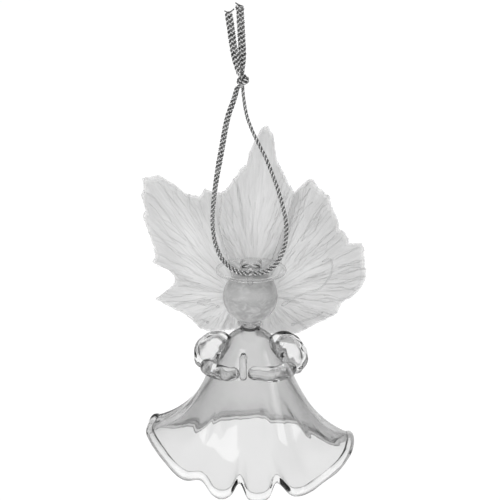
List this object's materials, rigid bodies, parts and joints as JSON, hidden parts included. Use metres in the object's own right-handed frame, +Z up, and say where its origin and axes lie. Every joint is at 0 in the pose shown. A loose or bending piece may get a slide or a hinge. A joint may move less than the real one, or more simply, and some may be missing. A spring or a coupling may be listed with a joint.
{
  "type": "hanging glass angel ornament",
  "caption": "Clear glass angel with a ruffled bell skirt, ball head, thin halo and spun-glass leaf wings, hung on a woven silver ribbon loop.",
  "frame": {"origin": "the point inside the top of the ribbon loop, just under the knot, where a hook or twig holds the ornament", "axes": "+Z up along the hanging line, +X to the viewer's right with the angel facing the viewer, -Y to the front"},
  "size_m": [0.0682, 0.0641, 0.1475],
  "materials": {
    "clear_glass": "clear, fire polished",
    "head_glass": "smoky grey, softly veiled",
    "cement": "clear set cement bead",
    "spun_glass": "white spun-glass fibre mat with a frayed edge",
    "silver_ribbon": "woven metallic thread"
  },
  "bodies": {
    "ribbon": {"ribbon_loop": "silver_ribbon", "ribbon_knot": "silver_ribbon", "ribbon_tail_left": "silver_ribbon", "ribbon_tail_right": "silver_ribbon"},
    "angel": {"bell_skirt": "clear_glass", "neck": "clear_glass", "head_ball": "head_glass", "hanging_eye": "clear_glass", "halo_ring": "clear_glass", "halo_bridge": "clear_glass", "sleeve_left": "clear_glass", "sleeve_right": "clear_glass", "forearm_left": "clear_glass", "forearm_right": "clear_glass", "candle_rod": "clear_glass", "wing_middle": "spun_glass", "wing_left": "spun_glass", "wing_right": "spun_glass", "wing_root_pad": "cement", "wing_stay_upper_right": "clear_glass", "wing_stay_lower_right": "clear_glass", "wing_stay_upper_left": "clear_glass", "wing_stay_lower_left": "clear_glass"}
  },
  "joints": [
    {"name": "angel_swing", "type": "hinge", "parent": "ribbon", "child": "angel", "pos_m": [0.0034, 0, -0.05926], "axis": [1, 0, 0], "range_deg": [-30, 11]}
  ]
}
